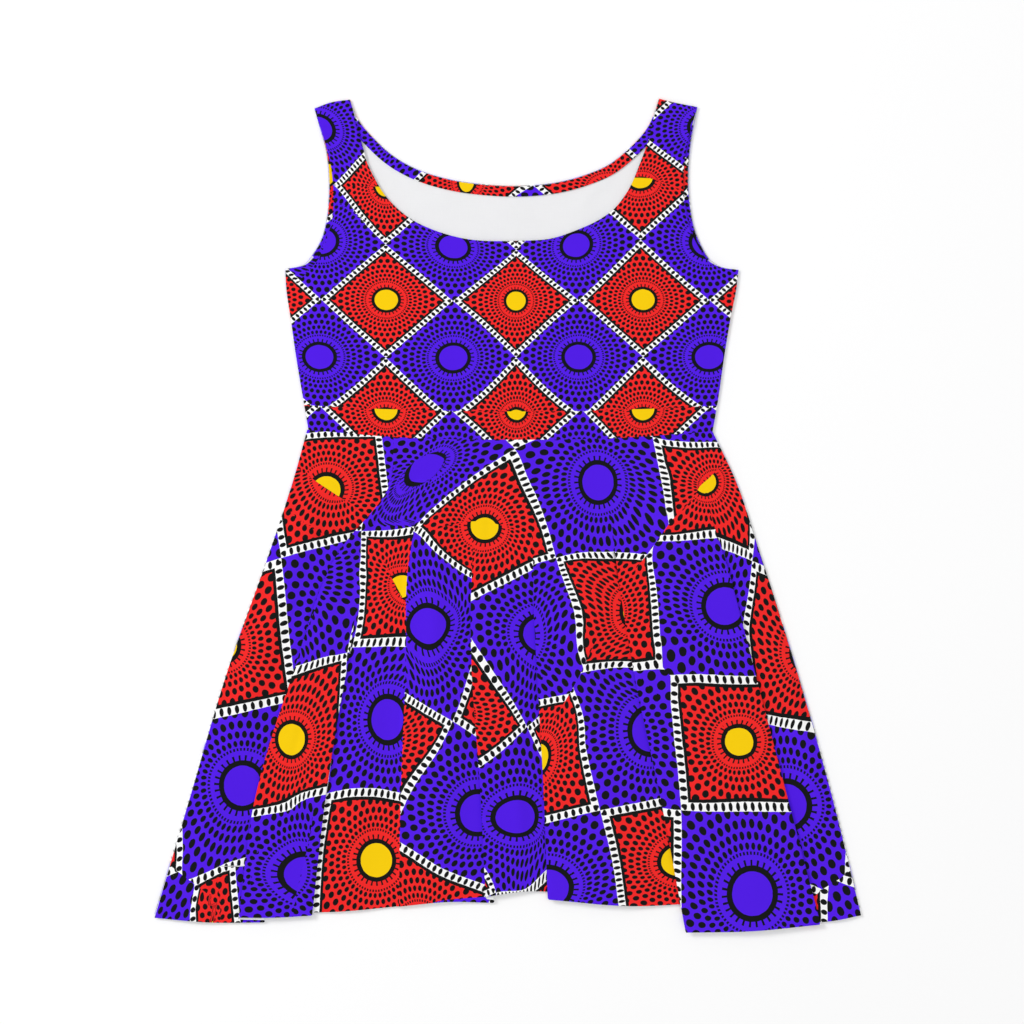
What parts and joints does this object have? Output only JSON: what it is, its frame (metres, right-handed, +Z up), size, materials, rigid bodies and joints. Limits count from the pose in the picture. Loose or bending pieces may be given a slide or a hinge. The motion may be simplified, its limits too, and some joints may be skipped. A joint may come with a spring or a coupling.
{
  "type": "sleeveless skater dress laid flat",
  "caption": "Sleeveless scoop-neck skater dress in ankara wax print cotton, laid flat front up: fitted bodice, waist seam and flared skirt in flattened folds.",
  "frame": {"origin": "middle of the dress's outline, on the plane that it lies on", "axes": "+Z up from the surface it lies on, +Y towards the neck, +X to the right of a viewer who looks down at the front with the neck away from them"},
  "size_m": [0.762, 0.8995, 0.0072],
  "materials": {
    "wax_print": "plain-weave cotton with a soft waxy sheen, printed in red, purple-blue, yellow, black and white",
    "print_reverse": "unprinted pale reverse of the same plain-weave cotton, matt"
  },
  "bodies": {
    "root": {"bodice_front": "wax_print", "bodice_back": "print_reverse", "skirt_front": "wax_print", "skirt_back": "print_reverse", "neck_facing_back": "wax_print", "armhole_facing_left": "wax_print", "armhole_facing_right": "wax_print"}
  },
  "joints": []
}
